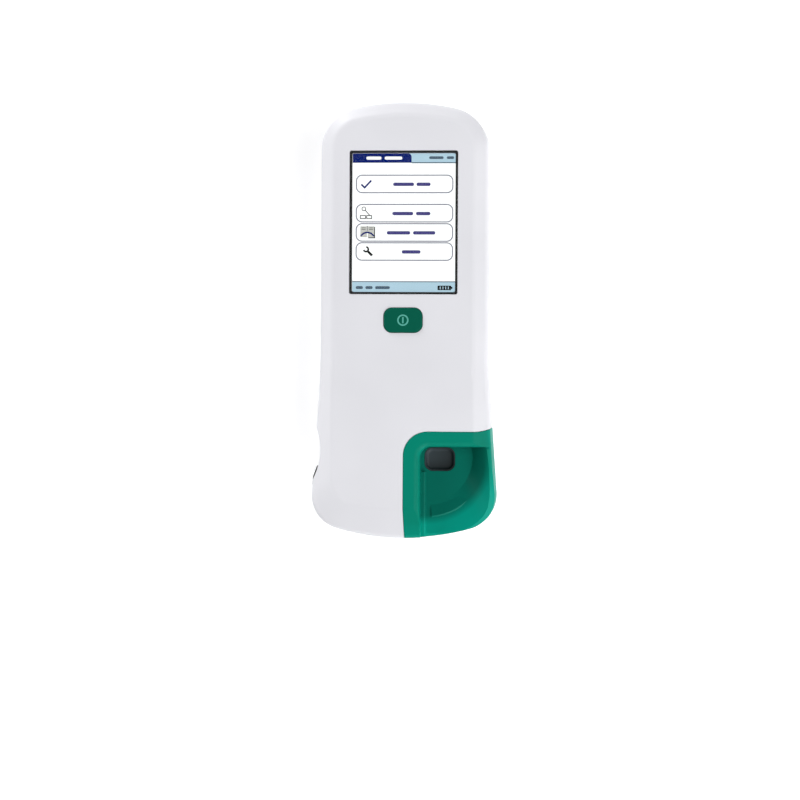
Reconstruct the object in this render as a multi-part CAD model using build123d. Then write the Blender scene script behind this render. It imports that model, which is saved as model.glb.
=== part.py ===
from build123d import *
import os
from math import atan2, cos, degrees, radians, sin, sqrt, tan

# Hand-held cardiac marker reader, in mm. It lies on its back on four rubber feet:
# display up (+Z), head end towards +Y, tail end with the strip recess towards -Y.

# Overall form of the casing
length = 244.0
head_width = 94.4
thickness = 51.0
wall = 2.2
head_arch = 130.0
head_corner = 23.5
tail_arch = 136.0
tail_corner = 20.0
flare_angle = 3.95
flare_reach = 93.3
flare_round = 500.0
split_height = 25.0
side_lean = 0.8
shoulder_drop = 4.0
shoulder_round = 3.0
fold_inset = 7.9
tail_fold_inset = 17.0
panel_flare = 0.4
panel_tail_arch = 150.0
panel_tail_corner = 15.0
fold_round = 6.0
rear_lean = 2.5
rear_round = 9.0
rear_bevel = 4.0
ramp_angle = 9.0
ramp_reach = 52.0
tongue_height = 1.5
tongue_gap = 0.1

# Thumb scallop in the left side and the code chip that is pulled out there
scallop_radius = 34.2
scallop_reach = 49.7
scallop_depth = 4.1
chip_width = 10.6
chip_depth = 17.5
chip_socket_length = 13.3
chip_thickness = 3.2
chip_proud = 1.0
chip_reach = 35.2
chip_gap = 0.2
socket_wall = 1.2

# Rubber feet and housing screws
foot_height = 1.0
foot_radius = 5.0
foot_seat = 0.8
foot_bevel = 0.4
foot_x = 30.0
foot_head_margin = 25.0
foot_tail_margin = 62.0
boss_radius = 4.4
head_boss_inset = 7.7
head_boss_reach = 25.0
side_boss_inset = 6.2
waist_boss_reach = 21.0
tail_boss_inset = 9.2
tail_boss_reach = 22.0
cover_boss_reach = 11.1
screw_seat = 14.0
screw_head_radius = 2.5
screw_head_height = 2.0
screw_radius = 1.25
screw_length = 22.0
screw_gap = 0.2
pilot_gap = 0.04

# Display, from the face inwards
window_width = 60.2
window_height = 79.6
window_corner = 1.2
window_recess = 0.3
window_thickness = 1.4
window_gap = 0.15
window_head_margin = 27.8
ledge_width = 1.3
ledge_thickness = 1.5
gasket_thickness = 0.8
lcd_width = 63.0
lcd_height = 84.0
lcd_thickness = 2.4
light_thickness = 2.0
tray_thickness = 1.2
display_gap = 0.3
display_rib = 1.2

# Main board, its posts and what it carries
board_gap = 1.8
board_thickness = 1.6
board_half_width = 35.5
board_head_margin = 15.5
board_leg_width = 39.5
board_corner = 3.0
post_x = 26.0
post_margin = 5.0
post_radius = 2.3
board_screw_radius = 1.0
board_screw_head = 2.1
board_screw_bite = 4.0
board_hole_gap = 0.1
boss_gap = 0.6
leg_step = 7.0

# Power key
key_width = 21.5
key_height = 13.7
key_corner = 4.6
key_gap = 0.25
key_below_window = 14.4
key_proud = 0.8
key_flange = 1.0
key_flange_thickness = 1.2
key_travel = 0.8
key_crown = 1.0
switch_size = 6.2
switch_height = 3.5
plunger_radius = 1.7
plunger_gap = 0.05
plunger_seat = 1.2
plunger_proud = 1.5

# Green chamber cover at the tail and its recess
cover_left = 0.5
cover_reach = 60.3
cover_corner = 13.4
cover_wall = 1.8
seam_gap = 0.25
seam_lean = 0.7
seam_turn = 27.0
seat_width = 3.0
seat_thickness = 1.5
recess_depth = 15.0
rim_side = 9.2
rim_head = 8.4
recess_corner = 6.0
recess_edge_round = 3.6
channel_width = 5.2
dish_radius = 25.7
dish_from_left = 3.15
dish_from_head = 6.2
lip_radius = 33.0
lip_width = 0.9
lip_height = 0.5
lip_start = -85.0
lip_sweep = 42.0
rail_width = 2.7
rail_height = 1.5
rail_round = 1.1
rail_root = 3.0

# The recess's crest, one station each crest_step degrees about the dish's centre, from beside the head
# wall round to the tail: its reach from that centre and its height over the floor
crest_start = 14.0
crest_step = 19.0
crest_reaches = (36.0, 35.3, 38.9, 45.2, 45.8, 43.4, 43.6)
crest_rises = (13.6, 12.0, 9.4, 3.8, 0.5, -0.4, -0.6)
roll_reach = 12.0
roll_angle = 30.0

# Strip port, guide and optics
port_width = 17.3
port_height = 13.4
port_corner = 4.6
port_side = 1.8
port_end = 0.6
port_gap = 0.2
port_flange = 2.0
port_flange_thickness = 2.6
port_sink = 0.1
port_wall = 0.6
port_depth = 2.6
port_round = 1.8
strip_width = 15.0
strip_room = 1.8
guide_length = 44.0
guide_side = 3.0
guide_base = 2.0
guide_roof = 1.5
guide_end = 3.0
carrier_length = 32.0
carrier_wall = 2.0
carrier_foot = 1.8
web_rise = 8.5
lamp_drop = 8.2
lamp_height = 2.3
lamp_radius = 1.2
seal_thickness = 0.8
eye_width = 12.0
eye_length = 20.0
barrel_radius = 5.0
barrel_length = 10.0
lens_radius = 3.8
lens_round = 9.0
lens_edge = 1.2
web_thickness = 2.0
heater_length = 20.0
heater_width = 11.0
heater_gap = 0.2
heater_rim = 0.8
spring_width = 8.0
spring_span = 18.0
spring_rise = 3.0
spring_gauge = 0.4

# Battery, its bay and the door below it
battery_width = 63.0
battery_height = 70.0
battery_thickness = 20.8
battery_round = 4.0
battery_gap = 0.6
contact_room = 3.0
bay_wall = 1.5
bay_flange = 2.4
bay_centre_from_head = 75.0
door_margin = 1.2
door_gap = 0.3
hinge_pin_radius = 0.6
hinge_pin_length = 2.4
hinge_gap = 0.05

# Head end windows and the sockets
scanner_width = 30.0
scanner_height = 10.0
scanner_level = 14.0
scanner_depth = 16.0
flange_width = 1.2
flange_thickness = 1.2
infrared_width = 16.0
infrared_height = 7.0
infrared_level = 32.5
lens_gap = 0.15
dc_from_centre = 24.0
dc_level = 18.0
dc_body = 10.0
dc_body_length = 14.0
dc_mouth = 3.2
dc_pin = 1.0
dc_bore_depth = 10.0
dc_lip_inset = 2.6
charge_block_width = 24.0
charge_block_length = 8.0
charge_block_thickness = 4.0
charge_reach = 74.0
charge_pad = 3.2

# Ribbons and small parts on the main board
ribbon = 0.3
flex_half = 10.0
can_width = 34.0
can_length = 34.0
can_height = 3.2
can_gauge = 0.4
can_hole = 1.0
can_pitch = 6.0
coin_radius = 8.0

# Levels and places that follow from the sizes above
head_y = length / 2
tail_y = -length / 2
face = thickness
base = foot_height
floor = base + wall
ceiling = face - wall
shoulder = face - shoulder_drop
flare_y = tail_y + flare_reach
window_y = head_y - window_head_margin - window_height / 2
key_y = window_y - window_height / 2 - key_below_window
window_floor = face - window_recess - window_thickness
ledge_floor = window_floor - ledge_thickness
lcd_top = ledge_floor - gasket_thickness
light_top = lcd_top - lcd_thickness
tray_top = light_top - light_thickness
tray_floor = tray_top - tray_thickness
board_top = tray_floor - board_gap
board_floor = board_top - board_thickness
recess_floor = face - recess_depth
cover_head = tail_y + cover_reach
recess_left = cover_left + rim_side
recess_head = cover_head - rim_head
dish_x = recess_left + dish_from_left
dish_y = recess_head - dish_from_head
port_x = recess_left + port_width / 2 + port_side
port_y = recess_head - port_height / 2 - port_end
guide_head = recess_head + cover_wall + guide_length
guide_tail = recess_head + cover_wall + port_gap
guide_floor = recess_floor - guide_base
guide_top = recess_floor + strip_room + guide_roof
guide_half = strip_width / 2 + guide_side
eye_y = (guide_tail + guide_head) / 2
bay_y = head_y - bay_centre_from_head
door_width = battery_width + 2 * battery_gap + 2 * door_margin
door_height = battery_height + contact_room + 2 * battery_gap + 2 * door_margin
bay_tail = bay_y - battery_height / 2 - battery_gap - contact_room
bay_head = bay_y + battery_height / 2 + battery_gap
bay_mid = (bay_tail + bay_head) / 2
bay_roof = floor + battery_gap + battery_thickness + battery_gap
hinge_radius = (wall - door_gap) / 2
hinge_y = bay_mid + door_height / 2 - hinge_radius
hinge_z = base + hinge_radius
chip_inner = head_width / 2 - chip_depth
chip_mouth = -chip_inner - chip_socket_length
chip_floor = board_floor - socket_wall - chip_gap - chip_thickness
switch_top = board_top + switch_height
plunger_top = switch_top + plunger_proud
carrier_base = floor + carrier_foot
carrier_floor = carrier_base + board_thickness
carrier_top = guide_floor - seal_thickness
web_floor = carrier_floor + web_rise
lamp_floor = carrier_top - lamp_drop
spring_top = guide_top + heater_rim + spring_rise
port_floor = recess_floor - cover_wall - port_flange_thickness
scanner_front = head_y - wall - rear_lean - flange_thickness - 0.6
scanner_back = scanner_front - scanner_depth
scanner_floor = scanner_level - 6.0
dc_drop = tail_arch - sqrt(tail_arch**2 - (dc_from_centre + dc_body / 2) ** 2)
dc_front = tail_y + dc_drop + wall + rear_lean + 0.8
dc_lip = tail_y + tail_arch - sqrt(tail_arch**2 - dc_from_centre**2) + dc_lip_inset
charge_x = -14.0
charge_y = tail_y + charge_reach
can_y = window_y - 9.0
coin_x, coin_y = 0.0, key_y + 9.0
flex_end = window_y + lcd_height / 2 - 6.0
leg_left = -board_half_width - leg_step
leg_right = leg_left + board_leg_width
leg_tail = tail_y + tail_boss_reach + boss_radius + boss_gap
leg_posts = [(leg_right - 7.0, flare_y - 1.0), (leg_left + 18.5, leg_tail + 25.0)]
beeper_x, beeper_y = leg_left + 20.0, leg_tail + 50.0
chip_y = tail_y + chip_reach
posts = [(x, window_y + side * (lcd_height / 2 + post_margin)) for x in (-post_x, post_x) for side in (-1, 1)]
screws = [(side * (head_width / 2 - head_boss_inset), head_y - head_boss_reach) for side in (-1, 1)]
screws += [(side * (head_width / 2 - side_boss_inset), flare_y + waist_boss_reach) for side in (-1, 1)]
screws += [(-head_width / 2 + tail_boss_inset, tail_y + tail_boss_reach)]
screws += [(head_width / 2 - side_boss_inset, cover_head + cover_boss_reach)]


def slab(x, y, z):
    """Block between two limits on each axis."""
    return Pos(sum(x) / 2, sum(y) / 2, sum(z) / 2) * Box(x[1] - x[0], y[1] - y[0], z[1] - z[0])


def pin(x, y, z, radius):
    """Upright round bar at x, y between the two heights in z."""
    return Pos(x, y, sum(z) / 2) * Cylinder(radius, z[1] - z[0])


def plate(x, y, width, height, corner, z):
    """Plate with round corners, centred at x, y, between the two heights in z."""
    return Pos(x, y, z[0]) * extrude(RectangleRounded(width, height, corner), z[1] - z[0])


def on_level(shape, height):
    """The edges of a shape that lie flat at one height."""
    return shape.edges().filter_by_position(Axis.Z, height - 0.001, height + 0.001)


# Outer form


def arch_drop(radius, half):
    return radius - sqrt(radius**2 - half**2)


def plan_outline(half, flare, head, tail, arches, corners):
    """Plan of the casing: arched ends, a straight head and a foot that flares out."""
    foot_half, foot_y = half, tail
    for _ in range(8):
        foot_y = tail + arch_drop(arches[1], foot_half)
        foot_half = half + (flare_y - foot_y) * tan(radians(flare))
    right = [(half, head - arch_drop(arches[0], half)), (half, flare_y), (foot_half, foot_y)]
    left = [(-x, y) for x, y in reversed(right)]
    outline = make_face([
        ThreePointArc(left[2], (0, head), right[0]),
        Polyline(*right),
        ThreePointArc(right[2], (0, tail), left[0]),
        Polyline(*left),
    ])
    for place, radius in zip(right, (corners[0], flare_round, corners[1])):
        pair = [v for v in outline.vertices() if abs(abs(v.X) - place[0]) + abs(v.Y - place[1]) < 0.01]
        outline = fillet(pair, radius)
    return outline.face()


def body_outline(inset, height):
    arches = (head_arch - inset, tail_arch - inset)
    corners = (head_corner - inset, tail_corner - inset)
    outline = plan_outline(head_width / 2 - inset, flare_angle, head_y - inset, tail_y + inset, arches, corners)
    return Pos(0, 0, height) * outline


def panel_outline(inset, height):
    """Outline of the flat front panel, inside the fold line."""
    half = head_width / 2 - fold_inset - inset
    head = head_y - fold_inset - inset
    tail = tail_y + tail_fold_inset + inset
    corners = (head_corner - fold_inset, panel_tail_corner)
    outline = plan_outline(half, panel_flare, head, tail, (head_arch - fold_inset, panel_tail_arch), corners)
    return Pos(0, 0, height) * outline


def thumb_scallop(grow=0.0):
    """Upright round cut that hollows the left side in front of the code chip."""
    flat = head_width / 2 + (flare_y - tail_y - scallop_reach) * tan(radians(flare_angle))
    centre = Pos(-flat + scallop_depth - scallop_radius, tail_y + scallop_reach, thickness / 2)
    return centre * Cylinder(scallop_radius + grow, 2 * thickness)


def front_form(inset=0.0):
    """Solid front half: leaning sides, a sloping shoulder band and the flat panel."""
    rim = body_outline(inset, split_height)
    upper = body_outline(inset + side_lean, shoulder - 0.577 * inset)
    return loft([rim, upper, panel_outline(0.27 * inset, face - inset)], ruled=True)


def front_outer():
    form = front_form()
    form = fillet(on_level(form, face), fold_round)
    return fillet(on_level(form, shoulder), shoulder_round)


def rear_form(inset=0.0):
    """Solid rear half: leaning sides, a flat back and a tail that ramps up."""
    low = base + inset
    lean = degrees(atan2(rear_lean, split_height - base))
    form = extrude(body_outline(inset, split_height), split_height - low, dir=(0, 0, -1), taper=lean)
    ramp_y = tail_y + ramp_reach
    run = ramp_reach + 10
    ramp = make_face(Polyline((ramp_y, low), (ramp_y - run, low + run * tan(radians(ramp_angle))),
                              (ramp_y - run, low - 10), (ramp_y, low - 10), close=True))
    cutter = extrude(Plane.YZ * ramp, length / 2, both=True)
    form -= cutter
    under = [f for f in form.faces() if f.normal_at().Z < -0.9]
    edges = {edge for f in under for edge in f.edges()}
    return chamfer(list(edges), rear_bevel) if inset else fillet(list(edges), rear_round)


def joint_ring(outer, inner, height):
    """Band that follows the casing outline just above the joint line."""
    ring = extrude(body_outline(outer, split_height), height) - extrude(body_outline(inner, split_height), height)
    return ring - thumb_scallop(wall + 0.8)


front_solid = front_outer()
front_hollow = front_form(wall)
rear_solid = rear_form()
rear_hollow = rear_form(wall)


# Chamber cover outline and recess


def cover_prism(grow=0.0):
    """Everything above the joint line inside the cover's seam, which turns up over the shoulder."""
    fold_y = tail_y + tail_fold_inset
    far, head = length, cover_head + grow
    left, turn_x = cover_left - grow, head_width / 2 - fold_inset
    lean = seam_lean / tail_fold_inset
    reach = seam_turn * sin(radians(30))
    rise = seam_turn * (1 - cos(radians(30)))
    upturn = ThreePointArc((turn_x, head), (turn_x + seam_turn * sin(radians(15)),
                           head + seam_turn * (1 - cos(radians(15)))), (turn_x + reach, head + rise))
    corner = make_face([
        Line((left, head), (turn_x, head)),
        upturn,
        Polyline((turn_x + reach, head + rise), (far, head + rise), (far, -far),
                 (left + lean * (fold_y + far), -far), (left, fold_y), (left, head)),
    ])
    turn = [v for v in corner.vertices() if abs(v.X - left) < 0.01 and v.Y > fold_y + 1]
    corner = fillet(turn, cover_corner + grow)
    return Pos(0, 0, split_height) * extrude(corner, thickness)


def dish_point(angle, radius, height):
    turn = radians(angle)
    return (dish_x + radius * cos(turn), dish_y + radius * sin(turn), height)


def recess_flank(drop=0.0):
    """Surface that rises from the flat dish to the crest, and the one that rolls over it past the casing."""
    low = recess_floor - drop
    angles = [crest_start - crest_step * count for count in range(len(crest_rises))]
    middle = (angles[0] + angles[-1]) / 2
    fall = roll_reach * tan(radians(roll_angle))
    stations = list(zip(angles, crest_reaches, crest_rises))
    inner = ThreePointArc(*[dish_point(angle, dish_radius, low) for angle in (angles[0], middle, angles[-1])])
    crest = Spline([dish_point(angle, reach, low + rise) for angle, reach, rise in stations])
    outer = Spline([dish_point(angle, reach + roll_reach, low + rise - fall) for angle, reach, rise in stations])
    return [Face.make_surface_from_curves(inner.edge(), crest.edge()),
            Face.make_surface_from_curves(crest.edge(), outer.edge())]


def recess_space(grow=0.0):
    """The hollow of the recess, or with grow the space that its pan fills."""
    low = recess_floor - grow
    dish = pin(dish_x, dish_y, (low, face + 5), dish_radius)
    rise = face + 5 - low
    space = dish
    for surface in recess_flank(grow):
        space += Solid.extrude(surface, Vector(0, 0, rise + 20))
    left, head, far = recess_left - grow, recess_head + grow, length
    inner = make_face(Polyline((left, head), (far, head), (far, -far), (left, -far), close=True))
    turn = [v for v in inner.vertices() if abs(v.X - left) < 0.01 and v.Y > -far + 1]
    walls = Pos(0, 0, split_height) * extrude(fillet(turn, recess_corner + grow), rise + 20)
    space += slab((left, recess_left + channel_width), (tail_y - 20, head), (low, face + 5))
    corner_x = dish_x + dish_radius * cos(radians(crest_start))
    space += slab((left, corner_x), (dish_y, head), (low, face + 5))
    return space & walls


def strip_ledge():
    """Crescent ledge under the strip's free end: it rises outwards and ends in a lip."""
    low, root = recess_floor, dish_radius + 0.3
    edge = lip_radius + lip_width
    profile = make_face(Polyline((root, low - cover_wall / 2), (root, low - 0.2), (lip_radius, low + 2 * lip_height),
                                 (edge, low + lip_height), (edge, low - cover_wall + 0.3), close=True))
    sector = revolve(Plane.XZ * profile, Axis.Z, lip_sweep)
    return Pos(dish_x, dish_y, 0) * Rot(0, 0, lip_start) * sector


def strip_rail():
    """Low rail along the recess's left wall that the strip's edge slides on."""
    left, right = recess_left - cover_wall, recess_left + rail_width
    low, top = recess_floor - rail_root, recess_floor + rail_height
    profile = make_face(Polyline((left, low), (right, low), (right, top), (left, top), close=True))
    corner = [v for v in profile.vertices() if v.X > right - 0.01 and v.Y > top - 0.01]
    profile = fillet(corner, rail_round)
    start = port_y - port_height / 2 - 0.5
    return Pos(0, start, 0) * extrude(Plane.XZ * profile, start - tail_y + 5)


def chamber_cover():
    outer = front_solid
    skin = outer - front_hollow
    pan = recess_space(cover_wall) & outer
    cover = ((skin + pan) & cover_prism()) - recess_space()
    cover += (strip_ledge() + strip_rail()) & outer
    cover -= port_flange_plate(port_gap)
    cover -= plate(port_x, port_y, port_width, port_height, port_corner, (split_height, recess_floor + 1))
    cover -= slab((port_x - strip_width / 2, port_x + strip_width / 2),
                  (recess_head - 1, recess_head + cover_wall + 1), (recess_floor, recess_floor + strip_room))
    cover -= joint_ring(wall / 2, wall + tongue_gap, tongue_height + tongue_gap)
    return cover - rim_round()


def rim_round():
    """Cutter that rounds the rim's inner edge along the left wall, the corner and the head wall."""
    low, reach = face - recess_edge_round, recess_edge_round
    slope = reach * sin(radians(45))
    profile = make_face([
        ThreePointArc((0, low), (reach - slope, low + slope), (reach, face)),
        Polyline((reach, face), (reach, face + 1), (-1, face + 1), (-1, low), (0, low)),
    ])
    turn_x, turn_y = recess_left + recess_corner, recess_head - recess_corner
    side = Pos(recess_left, turn_y, 0) * extrude(Plane.XZ * mirror(profile, Plane.YZ), length)
    head = Pos(turn_x, recess_head, 0) * extrude(Plane.YZ * profile, length)
    corner = revolve(Plane.XZ * (Pos(recess_corner, 0) * profile), Axis.Z, 90)
    return side + head + Pos(turn_x, turn_y, 0) * Rot(0, 0, 90) * corner


def cover_seat():
    """Ledge under the casing's edge that carries the head and left sides of the cover."""
    band = cover_prism(seat_width) - cover_prism(-seat_width)
    limits = slab((cover_left - seat_width - 1, head_width / 2 - fold_inset - 4),
                  (tail_y + tail_fold_inset + 5, cover_head + seat_width + 1), (ceiling - seat_thickness, ceiling))
    return band & limits


# Casing halves


def front_bosses():
    bosses = Part() + [pin(x, y, (split_height, face), boss_radius) for x, y in screws]
    bosses += [pin(x, y, (tray_top, ceiling + 0.5), post_radius) for x, y in posts]
    bosses += [pin(x, y, (board_top, ceiling + 0.5), post_radius) for x, y in leg_posts]
    return bosses


def front_pilots():
    top = screw_seat + screw_length + 1
    holes = Part() + [pin(x, y, (split_height - 1, top), screw_radius + pilot_gap) for x, y in screws]
    thin = board_screw_radius + pilot_gap
    holes += [pin(x, y, (tray_top - 1, tray_top + board_screw_bite + 0.5), thin) for x, y in posts]
    holes += [pin(x, y, (board_top - 1, board_top + board_screw_bite + 0.5), thin) for x, y in leg_posts]
    return holes


def display_frame():
    """Rib around the display's pocket, hanging from the front panel."""
    rim = 2 * (display_gap + display_rib)
    frame = plate(0, window_y, lcd_width + rim, lcd_height + rim, window_corner, (tray_top, ceiling + 0.3))
    pocket = 2 * display_gap
    return frame - plate(0, window_y, lcd_width + pocket, lcd_height + pocket, window_corner,
                         (tray_top - 1, ledge_floor))


def chip_slot(grow):
    return slab((-head_width, -chip_inner + grow), (chip_y - chip_width / 2 - grow, chip_y + chip_width / 2 + grow),
                (chip_floor - grow, chip_floor + chip_thickness + grow))


def front_casing():
    outer = front_solid - thumb_scallop()
    casing = outer - (front_hollow - thumb_scallop(wall))
    casing += front_bosses() & outer
    casing += display_frame()
    edge = window_y + lcd_height / 2
    casing -= slab((-flex_half - 0.5, flex_half + 0.5), (edge - 1, edge + 3), (tray_top - 1, lcd_top))
    casing -= cover_prism(seam_gap)
    casing += cover_seat()
    casing += slab((port_x - spring_width / 2, port_x + spring_width / 2), (eye_y - 1, eye_y + 1),
                   (spring_top, ceiling + 0.3))
    casing -= front_pilots()
    casing -= joint_ring(wall / 2, wall + tongue_gap, tongue_height + tongue_gap)
    grow = 2 * window_gap
    casing -= plate(0, window_y, window_width + grow, window_height + grow, window_corner + window_gap,
                    (window_floor, face + 1))
    casing -= plate(0, window_y, window_width - 2 * ledge_width, window_height - 2 * ledge_width, window_corner,
                    (tray_top, face))
    casing -= plate(0, key_y, key_width + 2 * key_gap, key_height + 2 * key_gap, key_corner + key_gap,
                    (ceiling - 1, face + 1))
    casing -= chip_slot(chip_gap) & slab((-length, chip_mouth), (-length, length), (0, face))
    casing -= window_plug(infrared_width, infrared_height, infrared_level, lens_gap)
    return casing


def window_plug(width, height, level, grow=0.0):
    """Round-cornered bar through the head wall."""
    bar = extrude(RectangleRounded(width + 2 * grow, height + 2 * grow, height / 3), 30)
    return Pos(0, head_y + 5, level) * Rot(90, 0, 0) * bar


def curved_window(form, width, height, level):
    """Window that follows the head wall, with a flange that seats on its inside."""
    inside = form(wall + flange_thickness)
    plug = (form() - inside) & window_plug(width, height, level)
    flange = (form(wall) - inside) & window_plug(width, height, level, flange_width)
    return plug + flange


def foot_places():
    return [(side * foot_x, y) for y in (head_y - foot_head_margin, tail_y + foot_tail_margin) for side in (-1, 1)]


def rear_rests():
    """Pads and ribs that carry the optics, strip port, scanner and power socket."""
    rests = slab((port_x - guide_half, port_x + guide_half), (eye_y - carrier_length / 2, eye_y + carrier_length / 2),
                 (0, carrier_base))
    rests += slab((port_x - 7, port_x + 7), (port_y - 1, port_y + 1), (0, port_floor))
    rests += slab((-scanner_width / 2 + 4, scanner_width / 2 - 4), (scanner_back + 2, scanner_front - 2),
                  (0, scanner_floor))
    rests += slab((-dc_from_centre - 4, -dc_from_centre + 4), (dc_front + 1, dc_front + dc_body_length - 1),
                  (0, dc_level - dc_body / 2))
    return rests


def rear_casing():
    outer = rear_solid - thumb_scallop()
    solid = Part() + [pin(x, y, (0, split_height), boss_radius) for x, y in screws]
    casing = outer - (rear_hollow - thumb_scallop(wall))
    casing += solid & outer
    outside = slab((-length, length), (-length, length), (-5, split_height)) - outer
    casing += rear_rests() - outside
    casing += joint_ring(wall / 2 + tongue_gap, wall, tongue_height)
    for x, y in screws:
        casing -= pin(x, y, (-1, screw_seat), screw_head_radius + screw_gap)
        casing -= pin(x, y, (0, face), screw_radius + screw_gap)
    for x, y in foot_places():
        casing -= pin(x, y, (0, base + foot_seat), foot_radius)
    casing -= door_opening()
    casing -= window_plug(scanner_width, scanner_height, scanner_level, lens_gap)
    casing -= bar_along_y(dc_mouth + 1.2, -dc_from_centre, dc_level, (tail_y - 5, dc_front + 1))
    casing -= plate(charge_x, charge_y, charge_block_width + 0.3, charge_block_length + 0.3, 1.5, (0, floor + 1))
    return casing


def bar_along_y(radius, x, z, y):
    return Pos(x, sum(y) / 2, z) * Rot(90, 0, 0) * Cylinder(radius, y[1] - y[0])


def rubber_feet():
    foot = pin(0, 0, (0, base + foot_seat), foot_radius)
    foot = chamfer(on_level(foot, 0), foot_bevel)
    return Compound([Pos(x, y, 0) * foot for x, y in foot_places()])


def screw(head_radius, head_height, radius, length_in):
    """Screw pointing up, its head's seat at height 0, with a hexagon socket."""
    body = pin(0, 0, (-head_height, 0), head_radius) + pin(0, 0, (0, length_in), radius)
    socket = extrude(RegularPolygon(head_radius * 0.5, 6), head_height * 0.6)
    return body - Pos(0, 0, -head_height) * socket


def housing_screws():
    one = screw(screw_head_radius, screw_head_height, screw_radius, screw_length)
    return Compound([Pos(x, y, screw_seat) * one for x, y in screws])


def board_screws():
    grip = board_screw_bite + board_top - board_floor
    long = screw(board_screw_head, 1.4, board_screw_radius, tray_top - board_floor + board_screw_bite)
    short = screw(board_screw_head, 1.4, board_screw_radius, grip)
    return Compound([Pos(x, y, board_floor) * long for x, y in posts]
                    + [Pos(x, y, board_floor) * short for x, y in leg_posts])


# Display stack and power key


def display_window():
    return plate(0, window_y, window_width, window_height, window_corner, (window_floor, face - window_recess))


def display_gasket():
    gasket = plate(0, window_y, lcd_width, lcd_height, window_corner, (lcd_top, ledge_floor))
    return gasket - plate(0, window_y, window_width - 2 * ledge_width, window_height - 2 * ledge_width,
                          window_corner, (lcd_top - 1, ledge_floor + 1))


def lcd_panel():
    return plate(0, window_y, lcd_width, lcd_height, window_corner, (light_top, lcd_top))


def backlight():
    return plate(0, window_y, lcd_width, lcd_height, window_corner, (tray_top, light_top))


def display_tray():
    rim = 2 * (display_gap + display_rib)
    tray = plate(0, window_y, lcd_width + rim, lcd_height + rim, window_corner, (tray_floor, tray_top))
    for x, y in posts:
        inward = 1 if y < window_y else -1
        ear = slab((x - post_radius, x + post_radius), sorted((y, y + inward * 2 * post_margin)),
                   (tray_floor, tray_top))
        tray += ear + pin(x, y, (board_top, tray_top), post_radius)
    for x, y in posts:
        tray -= pin(x, y, (board_top - 1, tray_top + 1), board_screw_radius + board_hole_gap)
    opening = plate(0, window_y, lcd_width * 0.6, lcd_height * 0.6, 6, (tray_floor - 1, tray_top + 1))
    return tray - opening


def display_flex():
    """Ribbon from the display's head edge, bent round the tray's edge to the board's connector."""
    edge = window_y + lcd_height / 2
    high, low = (lcd_top + light_top) / 2, board_top + 0.9
    bend = (high - low) / 2
    y = edge + display_gap + display_rib + 2.0
    path = [Line((edge, high), (y, high)), ThreePointArc((y, high), (y + bend, low + bend), (y, low)),
            Line((y, low), (flex_end, low))]
    return ribbon_strip(path, (-flex_half, flex_half))


def ribbon_strip(path, x):
    """Flat cable of one gauge, drawn as its path in the YZ plane and as wide as x."""
    return Pos(x[0], 0, 0) * extrude(Plane.YZ * trace(path, ribbon), x[1] - x[0])


def flex_connector():
    return slab((-flex_half - 1, flex_half + 1), (flex_end - 5, flex_end), (board_top, board_top + 1.5))


def power_button():
    cap = plate(0, key_y, key_width, key_height, key_corner, (ceiling - key_flange_thickness, face + key_proud))
    cap = fillet(on_level(cap, face + key_proud), key_crown)
    flange = plate(0, key_y, key_width + 2 * key_flange, key_height + 2 * key_flange, key_corner + key_flange,
                   (ceiling - key_flange_thickness, ceiling))
    return cap + flange + pin(0, key_y, (plunger_top, ceiling), 2.4)


def tact_switch():
    body = plate(0, key_y, switch_size, switch_size, 0.5, (board_top, switch_top))
    return body - pin(0, key_y, (switch_top - plunger_seat - key_travel - 0.3, switch_top + 1),
                      plunger_radius + plunger_gap)


def switch_plunger():
    return pin(0, key_y, (switch_top - plunger_seat, plunger_top), plunger_radius)


# Main board and its parts


def main_board():
    """L-shaped board: a wide head part and a leg beside the measuring chamber."""
    head, waist, step = head_y - board_head_margin, flare_y + 15.0, flare_y + 13.0
    board = make_face(Polyline((-board_half_width, head), (board_half_width, head), (board_half_width, waist),
                               (leg_right, waist), (leg_right, leg_tail), (leg_left, leg_tail),
                               (leg_left, step), (-board_half_width, step), close=True))
    board = fillet(board.vertices(), board_corner / 2)
    board = Pos(0, 0, board_floor) * extrude(board, board_thickness)
    for x, y in posts + leg_posts:
        board -= pin(x, y, (board_floor - 1, board_top + 1), board_screw_radius + board_hole_gap)
    for x, y in screws:
        board -= pin(x, y, (board_floor - 1, board_top + 1), boss_radius + boss_gap)
    return board


def shield_can():
    """Thin metal lid over the processor, open towards the board."""
    z = (board_floor - can_height, board_floor)
    can = plate(0, can_y, can_width, can_length, 1.5, z)
    hollow = 2 * can_gauge
    can -= plate(0, can_y, can_width - hollow, can_length - hollow, 1.1, (z[0] + can_gauge, z[1] + 1))
    hole = extrude(RegularPolygon(can_hole, 6), 2 * can_gauge)
    for place in GridLocations(can_pitch, can_pitch, 4, 4):
        can -= Pos(0, can_y, z[0] - can_gauge / 2) * place * hole
    return can


def processor():
    return plate(0, can_y, 14, 14, 0.4, (board_floor - 1.3, board_floor))


def memory_chips():
    return Compound([plate(x, can_y + can_length / 2 + 8, 10, 6, 0.3, (board_floor - 1.0, board_floor))
                     for x in (-13, 0, 13)])


def coin_cell_holder():
    holder = pin(coin_x, coin_y, (board_floor - 4.6, board_floor), coin_radius + 1.2)
    holder -= pin(coin_x, coin_y, (board_floor - 5, board_floor - 1.0), coin_radius + 0.05)
    return holder - slab((coin_x - 4, coin_x + 4), (coin_y - 20, coin_y - 5), (board_floor - 5, board_floor - 1.0))


def coin_cell():
    cell = pin(coin_x, coin_y, (board_floor - 4.2, board_floor - 1.0), coin_radius)
    return chamfer(on_level(cell, board_floor - 4.2), 0.5)


def beeper():
    can = pin(beeper_x, beeper_y, (board_floor - 4.5, board_floor), 6.0)
    return can - pin(beeper_x, beeper_y, (board_floor - 5, board_floor - 3.7), 0.9)


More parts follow.
